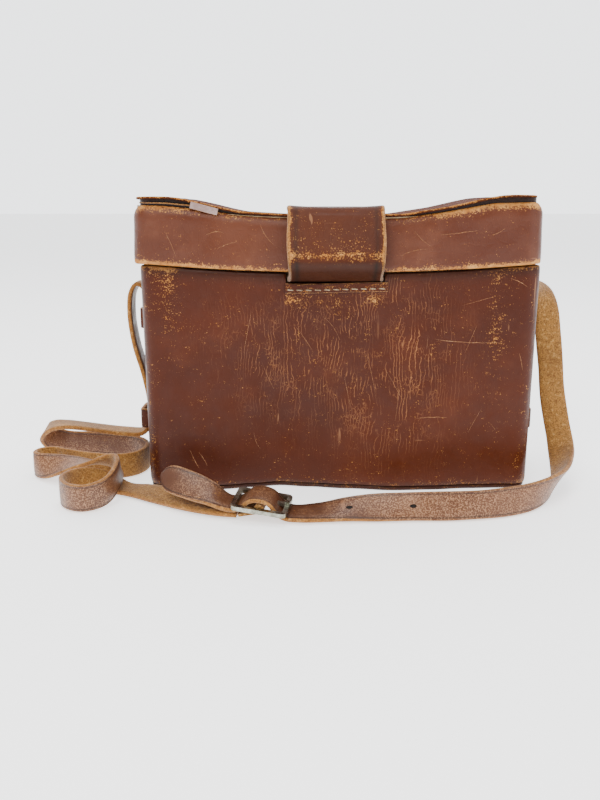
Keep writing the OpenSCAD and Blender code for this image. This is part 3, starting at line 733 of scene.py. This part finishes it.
BUCKLED = [
    [-92.5, 2, 62, 0, 1, 0], [-93.2, 2, 84, 0, 1, 0], [-95.2, 2, 92.6, 0, 1, 0],
    [-98.6, 2, 94.6, 0, 1, 0], [-101.6, 2, 90.6, 0, 1, 0], [-102.8, 2, 80, 0, 1, 0],
    [-101, 2, 64, 0, 1, 0], [-97.4, 2, 50, 0, 1, 0], [-94.9, 2, 36, 0, 1, 0], [-94.8, 2, 27, 0, 1, 0],
    [-96.2, 2, 21, 0, 1, 0], [-100, 2, 18, 0, 1, 0], [-110, 2.4, 18, 0, 1, 0],
    [-140, 6, 20.4, 0, 1, 0], [-149, 8.6, 18.6, 0.1, 0.9, 0.2], [-154, 12.6, 14.4, 0.2, 0.7, 0.55],
    [-152.6, 17.6, 9.6, 0.1, 0.35, 0.9], [-145, 20.4, 7, 0, 0, 1], [-132, 20, 6.6, 0, 0, 1],
    [-118, 17, 6.6, 0, 0, 1], [-106, 12, 6.6, 0, 0, 1], [-99, 4, 6.6, 0, 0, 1], [-97, -7, 6.6, 0, 0, 1],
    [-101, -17, 6.6, 0, 0, 1], [-110, -21, 6.6, 0, 0, 1],
    [-136, -12, 6.6, 0, 0, 1], [-143, -8.4, 6.6, 0, 0, 1], [-149.6, -10.4, 6.6, 0, 0, 1],
    [-150.6, -16.6, 6.6, 0, 0, 1], [-145, -21.6, 6.8, 0, 0.4, 0.92], [-135, -25, 8.4, 0, 0.86, 0.5],
    [-125, -28, 10, 0, 1, 0], [-113, -30.6, 11.6, 0, 0.87, -0.5], [-106.5, -34.4, 12.2, 0.2, 0.5, -0.84],
    [-103, -42, 12, 0.1, 0, -1], [-103, -52, 9.6, 0, 0, -1], [-106, -61.6, 7.4, 0, 0, -1],
    [-113, -67, 6.8, 0, 0, -1], [-120.5, -64.6, 6.8, 0, 0, -1], [-126, -56, 6.8, 0, 0, -1],
    [-125, -46.4, 6.6, 0, -0.05, -1], [-118.4, -40, 5.8, -0.1, -0.45, -0.85],
    [-109, -39.4, 3.8, -0.1, -0.8, -0.45], [-101, -41.6, 2.2, -0.3, -0.95, -0.03],
    [-92, -46, 2.6, -0.42, -0.88, -0.12], [-82, -52.6, 3.2, -0.42, -0.87, -0.24],
    [-71, -60, 3.4, -0.38, -0.88, -0.26], [-60, -65.8, 3.4, -0.28, -0.93, -0.22],
    [-51.5, -69, 3.2, -0.19, -0.97, -0.17], [-44.8, -70.3, 3.2, -0.19, -0.97, -0.17],
]


def build_straps():
    """Both straps. Gives each one's object, centre line, length and the x at which it leaves its loop."""
    mats = [STRAP, FLESH, EDGE]
    made = {}
    for name, route, grain, cad, x0, tip in (
        ("strap_long", HOLED, -1, "strap_holed", 93.2, 7.5),
        ("strap_short", BUCKLED, 1, "strap_buckled", -93.2, None),
    ):
        pts = spline(route, 1.6)
        ob, real = sweep(name, pts, STRAP_W, STRAP_T, mats, grain, "body", tip=tip)
        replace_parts(ob, cad)
        made[name] = (ob, pts, real, x0)
    return made


def tongue_path():
    """The tongue from the side (y, z): root on the lid, bend, and the end inside the slot."""
    return [(-20, 130.2), (-30, 130.2), (-36.5, 130.4), (-39.4, 129.8), (-41.0, 127.4), (-43.6, 122),
            (-46.4, 115.6), (-48.3, 111.2), (-49.2, 108.6), (-49.3, 106.9), (-48.3, 105.2),
            (-45.8, 103.4), (-42.4, 101.6),
            (-38.8, 100.2), (-35.8, 99.5), (-34.0, 98.4), (-33.2, 96), (-32.4, 92), (-31.5, 88), (-30.5, 84)]


def build_tongue():
    """One strip from the lid's top into the slot, bending between lid and tongue."""
    path = [[TX, y, z, 1, 0, 0] for y, z in tongue_path()]
    pts = spline(path, 0.9)
    section = [(-1.0, 0.0), (-0.995, 0.6), (-0.975, 0.97), (-0.94, 1.05)]
    section += [(-0.9 + 1.8 * i / 22, 1.06) for i in range(23)]
    section += [(0.94, 1.05), (0.975, 0.97), (0.995, 0.6), (1.0, 0.0), (0.99, -0.8), (0.96, -1.0)]
    section += [(0.9 - 1.8 * i / 12, -1.0) for i in range(13)]
    section += [(-0.96, -1.0), (-0.99, -0.8)]

    def worn(t, u):
        """Rubbed where it bends outwards and along its edges."""
        side = smooth01((abs(u) - 0.84) / 0.12) * (1 if t < 0.58 else 0)
        hidden = 0.25 if t > 0.59 else 0
        return 0.46 * bell(t, 0.530, 0.026) + 0.22 * side + 0.05 * bell(t, 0.44, 0.07) - hidden

    # painted shade on the tongue's underside past its bend, where it tucks towards the slot
    ob, _ = sweep("tongue", pts, TW, 2.3, [TONGUE, FLESH, EDGE], 1, None, section,
                  wear_at=worn, shade_at=lambda t, u: 0.62 * smooth01((t - 0.555) / 0.02))
    co = np.array([v.co for v in ob.data.vertices])
    # narrower where it bends, dished on the lid's top, and bowed out in front
    z = co[:, 2] / MM
    u = (co[:, 0] / MM - TX) / (TW / 2)
    low = np.exp(-((z - 106) / 9) ** 2) * (co[:, 1] / MM < -39)
    co[:, 0] = (TX + u * (TW / 2) * (0.995 - 0.028 * low)) * MM
    roof = (z > 128.5) & (co[:, 1] / MM < -24)
    co[:, 2] += np.where(roof, 0.9 * (u * u - 0.7), 0) * MM
    out = (co[:, 1] / MM < -40) & (z > 104)
    co[:, 1] += np.where(out, 0.7 * (1 - u * u) * np.clip((z - 108) / 14, 0, 1) * MM, 0)
    ob.data.vertices.foreach_set("co", co.astype(np.float32).ravel())
    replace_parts(ob, "tongue_root", "tongue_flap", "tongue_tip")
    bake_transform(ob)


def capsule(p, q, r, verts, faces, sides=6):
    """Adds a thin round-ended stitch from p to q."""
    p, q = Vector(p), Vector(q)
    d = (q - p).normalized()
    a = d.orthogonal().normalized()
    b = d.cross(a)
    start = len(verts)
    length = (q - p).length
    rings = [(0.0, 0.3), (0.08, 0.8), (0.25, 1.0), (0.75, 1.0), (0.92, 0.8), (1.0, 0.3)]
    for t, f in rings:
        for i in range(sides):
            ang = 2 * math.pi * i / sides
            verts.append(p + d * (length * t) + (a * math.cos(ang) + b * math.sin(ang)) * (r * f))
    for j in range(len(rings) - 1):
        for i in range(sides):
            faces.append((start + j * sides + i, start + j * sides + (i + 1) % sides,
                          start + (j + 1) * sides + (i + 1) % sides, start + (j + 1) * sides + i))
    faces.append(tuple(start + i for i in range(sides))[::-1])
    faces.append(tuple(start + (len(rings) - 1) * sides + i for i in range(sides)))


def stitches(name, rows, body, cad):
    """Rows of thread, each stitch from one place to another."""
    verts, faces = [], []
    for row in rows:
        for p, q in row:
            capsule([c * MM for c in p], [c * MM for c in q], 0.32 * MM, verts, faces)
    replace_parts(make(name, verts, faces, [THREAD], body), cad)


def build_slot():
    """The stitched strip under the slot, standing on the warped front."""
    path = []
    x = TX + 0.5 - 23
    while x <= TX + 0.5 + 23.01:
        _, y, z = warp_body(x, FRONT_Y, 95.9)
        path.append([x, y - 0.62 - 0.25 * bell(x, TX, 12), z + 0.35 * math.sin(x * 0.09), 0, 0, 1])
        x += 4.6
    pts = spline(path, 1.2)
    ob, _ = sweep("slot_strip", pts, 4.2, 1.3, [CASE, EDGE, EDGE], 1, "body", FLAT,
                  wear_at=lambda t, u: 0.22)
    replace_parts(ob, "slot_lip")
    row = []
    for i in range(11):
        x = TX + 0.5 - 20.6 + i * 4.1
        _, y, _ = warp_body(x, FRONT_Y, 95)
        y -= 1.40 + 0.25 * bell(x, TX, 12)
        dz = 0.35 * math.sin(x * 0.09)
        row.append(((x - 1.4, y, 95.3 + dz), (x + 1.4, y, 95.1 + dz)))
    stitches("slot_thread", [row], "body", "slot_stitching")


def build_hinge():
    """The leather hinge on the back, one strip that bends between body and lid, and its thread."""
    heights = (89.6, 92, 96, 100, 103, 105, 106, 107, 109, 112, 116, 120, 122.4)
    path = [[0, 38.45 + 0.35 * bell(z, 106, 2.5), z, 1, 0, 0] for z in heights]
    pts = spline(path, 1.0)
    section = [(-1.0, 0.0), (-0.996, 0.6), (-0.985, 0.97)] + [(-0.96 + 1.92 * i / 40, 1.0) for i in range(41)]
    section += [(0.985, 0.97), (0.996, 0.6), (1.0, 0.0), (0.99, -1.0)]
    section += [(0.9 - 1.8 * i / 12, -1.0) for i in range(13)] + [(-0.99, -1.0)]
    ob, _ = sweep("hinge_strip", pts, HINGE_W, 1.9, [CASE, FLESH, EDGE], 1, None, section,
                  wear_at=lambda t, u: 0.5 * bell(t, 0.5, 0.06) + 0.1)
    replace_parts(ob, "hinge_lower", "hinge_upper")
    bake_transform(ob)
    for name, zs, body, cad in (("hinge_thread_low", (92.7, 101.5), "body", "hinge_lower_stitching"),
                                ("hinge_thread_high", (110.5, 119.4), "lid", "hinge_upper_stitching")):
        rows = [[((x - 1.6, 39.5, z), (x + 1.6, 39.5, z)) for x in np.arange(-61, 62, 5.2)] for z in zs]
        stitches(name, rows, body, cad)


def build_loops():
    """Four side loops, each a bent strip of leather with its feet riveted down."""
    for name, side, z, gap, cad in (
        ("loop_ul", -1, 78, 4.6, "loop_upper_left"), ("loop_ur", 1, 78, 4.6, "loop_upper_right"),
        ("loop_ll", -1, 27, 6.6, "loop_lower_left"), ("loop_lr", 1, 27, 6.6, "loop_lower_right"),
    ):
        b, t = HALF_W, 0.85
        prof = [(b + t, -13.2), (b + t, -10), (b + t + 0.1, -8.4), (b + 1.6, -6.5), (b + gap * 0.7, -6.0),
                (b + gap + 0.5, -5.0), (b + gap + 0.95, -2.6), (b + gap + 1.0, 2), (b + gap + 0.95, 6.6),
                (b + gap + 0.5, 9.0), (b + gap * 0.7, 10.0), (b + 1.6, 10.5), (b + t + 0.1, 12.4), (b + t, 14),
                (b + t, 17.2)]
        pts = spline([[side * x, y, z, 0, 0, 1] for x, y in prof], 0.8)
        ob, _ = sweep(name, pts, 10, 1.6, [CASE, FLESH, EDGE], side, "body", FLAT)
        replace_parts(ob, cad)


def build_patch():
    """The pale repair patch at the lid's left edge."""
    path = [[-66.4 + 1.2 * i, -38.05 + 0.25 * math.sin(i), 132.0 - 0.31 * i, 0.2, 0, 1]
            for i in range(11)]
    pts = spline(path, 1.0)
    ob, _ = sweep("patch", pts, 3.0, 0.5, [PATCH, PATCH, EDGE], 1, "lid", FLAT)
    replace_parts(ob, "edge_patch")


# long scratches: from (x, z), to (x, z), and width
BODY_SCRATCHES = [
    ((43, 72.5), (74, 71.0), 0.34), ((36, 35.5), (50, 36), 0.34), ((62, 79), (57, 66), 0.3),
    ((40, 74), (39.6, 68), 0.26), ((-40, 28), (-37, 20), 0.26), ((82, 66), (84, 58), 0.4),
    ((-70, 20), (-66, 11), 0.4), ((-66, 19), (-62, 12), 0.35), ((55, 88), (70, 92), 0.2),
    ((-40, 86), (-44, 66), 0.2), ((66, 40), (60, 28), 0.18), ((-36, 62), (-30, 48), 0.2),
    ((20, 60), (31, 41), 0.2), ((12, 66), (17, 44), 0.2), ((2, 56), (6, 38), 0.2),
    ((-20, 78), (-12, 66), 0.24), ((-8, 83), (0, 72), 0.22), ((28, 52), (26, 34), 0.2),
    ((76, 100), (84, 96), 0.3),
]
LID_SCRATCHES = [
    ((-36, 124), (-30, 115), 0.34), ((-60, 119), (-52, 120), 0.25), ((-78, 121), (-73, 109), 0.2),
    ((-55, 113), (-46, 116), 0.2), ((44, 119), (60, 121), 0.25), ((32, 121), (40, 114), 0.22),
    ((66, 119), (72, 122), 0.2), ((26, 110), (38, 113), 0.2),
]


def build_scuffs():
    """Single long scratches, as hair-thin tapered ribbons on the front."""
    rnd = random.Random(8)
    for name, body, lines in (("scuffs_body", "body", BODY_SCRATCHES), ("scuffs_lid", "lid", LID_SCRATCHES)):
        verts, faces = [], []
        for (x0, z0), (x1, z1), w in lines:
            n, base = 14, len(verts)
            bow = rnd.uniform(-1.2, 1.2)
            for i in range(n + 1):
                t = i / n
                x = x0 + (x1 - x0) * t + bow * math.sin(math.pi * t) * 0.4
                z = z0 + (z1 - z0) * t + bow * math.sin(math.pi * t) + rnd.uniform(-0.12, 0.12)
                hw = w * 0.5 * math.sin(math.pi * (0.06 + 0.88 * t)) * rnd.uniform(0.5, 1.2)
                for k in (-1, 1):
                    if body == "body":
                        _, y, _ = warp_body(x, FRONT_Y, z + k * hw)
                    else:
                        zz = z + k * hw
                        y = -38.9 + lid_lean(zz, rim_z(x, -38)) * 0.7 + 0.5 * fbm(x - LX, 0, zz, 0.03, 9)
                    dx = k * hw * (0.7 if abs(z1 - z0) > abs(x1 - x0) else 0.0)
                    verts.append(((x + dx) * MM, (y - 0.05) * MM, (z + (k * hw if not dx else 0)) * MM))
            for i in range(n):
                a = base + 2 * i
                faces.append((a, a + 2, a + 3, a + 1))
        make(name, verts, faces, [SCUFF], body)


def build_holes():
    """Punched holes of the long strap that show on the front run, each drawn as a flat near-black disc of
    painted shade on the strap's face.
    """
    pts = STRAPS["strap_long"][1]
    verts, faces = [], []
    for x in (29.8, 2.7):
        i = min((j for j in range(len(pts)) if pts[j][1] < -60), key=lambda j: abs(pts[j][0] - x))
        t = Vector(pts[i + 1][:3] - pts[i - 1][:3]).normalized()
        w = Vector(pts[i][3:6])
        w = (w - t * w.dot(t)).normalized()
        n = -t.cross(w)
        base = len(verts)
        for j in range(14):
            a = 2 * math.pi * j / 14
            q = Vector(pts[i][:3]) + n * 1.17 + t * (1.5 * math.cos(a)) + w * (0.85 * math.sin(a))
            verts.append(q * MM)
        faces.append(tuple(range(base, base + 14)))
    make("strap_holes", verts, faces, [HOLE_SHADE], "body")


def dress(node, mat, width):
    """Shows a CAD node as it is, in a material, with rounded edges if width isn't 0."""
    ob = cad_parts[node]
    ob.data.materials.clear()
    ob.data.materials.append(mat)
    if width:
        m = ob.modifiers.new("bevel", "BEVEL")
        m.width = width
        m.segments = 3
        m.limit_method = "ANGLE"
        m.angle_limit = math.radians(40)


build_wrap()
build_base()
build_band()
build_top("lid_cover", 1.1, 0.0, COVER_TOP, panel_z, "lid_top")
build_top("lid_ply", 0.6, 1.0, EDGE, ply_z)
build_shade_sheet()
STRAPS = build_straps()
build_tongue()
build_slot()
build_hinge()
build_loops()
build_patch()
build_scuffs()
build_holes()

for node, mat, width in (
    ("body_board", BOARD, 0.0004), ("bottom_board", BOARD, 0), ("slot_pocket", BOARD, 0),
    ("lid_board", BOARD, 0), ("body_lining", LINING, 0), ("lid_lining", LINING, 0), ("bottom_pad", LINING, 0),
    ("loop_rivets", METAL, 0.0004), ("strap_rivets", METAL, 0.0004),
    ("buckle_frame", METAL, 0.0006), ("buckle_prong", METAL, 0.0004), ("strap_fold", FLESH, 0.0003),
):
    dress(node, mat, width)


# ---------------------------------------------------------------- floor and light
floor_mesh = bpy.data.meshes.new("floor")
floor_mesh.from_pydata([(-40, -6, 0), (40, -6, 0), (40, 60, 0), (-40, 60, 0)], [], [(0, 1, 2, 3)])
floor = bpy.data.objects.new("floor", floor_mesh)
bpy.context.scene.collection.objects.link(floor)
white = Mat("floor_white")
floor_mesh.materials.append(white.done((0.9, 0.9, 0.9, 1), 0.9, spec=0.1))
white.b.inputs["Emission Color"].default_value = (1, 1, 1, 1)
white.b.inputs["Emission Strength"].default_value = 1.2

# a bright backdrop behind the case and a dimmer room in front of it
world = bpy.data.worlds.new("world")
world.use_nodes = True
wt = world.node_tree
coord = wt.nodes.new("ShaderNodeTexCoord")
sep = wt.nodes.new("ShaderNodeSeparateXYZ")
ramp = wt.nodes.new("ShaderNodeMapRange")
ramp.interpolation_type = "SMOOTHSTEP"
for key, v in (("From Min", -0.1), ("From Max", 0.75), ("To Min", 0.62), ("To Max", 3.0)):
    ramp.inputs[key].default_value = v
wt.links.new(coord.outputs["Generated"], sep.inputs[0])
wt.links.new(sep.outputs["Y"], ramp.inputs["Value"])
wt.links.new(ramp.outputs[0], wt.nodes["Background"].inputs[1])
wt.nodes["Background"].inputs[0].default_value = (0.96, 0.98, 1.0, 1)
bpy.context.scene.world = world


def area(name, loc, target, size, power, colour=(1, 1, 1)):
    """A square light at loc that points at target."""
    d = bpy.data.lights.new(name, "AREA")
    d.size = size
    d.energy = power
    d.color = colour
    o = bpy.data.objects.new(name, d)
    o.location = loc
    o.rotation_euler = (Vector(target) - Vector(loc)).to_track_quat("-Z", "Y").to_euler()
    bpy.context.scene.collection.objects.link(o)


area("key", (-0.35, -0.8, 0.95), (0, 0, 0.06), 0.7, 11, (1.0, 0.97, 0.93))
area("fill", (0.9, -0.7, 0.5), (0, 0, 0.06), 0.8, 4, (0.94, 0.96, 1.0))
area("top", (0.0, 0.1, 1.2), (0, 0, 0.05), 0.9, 9)
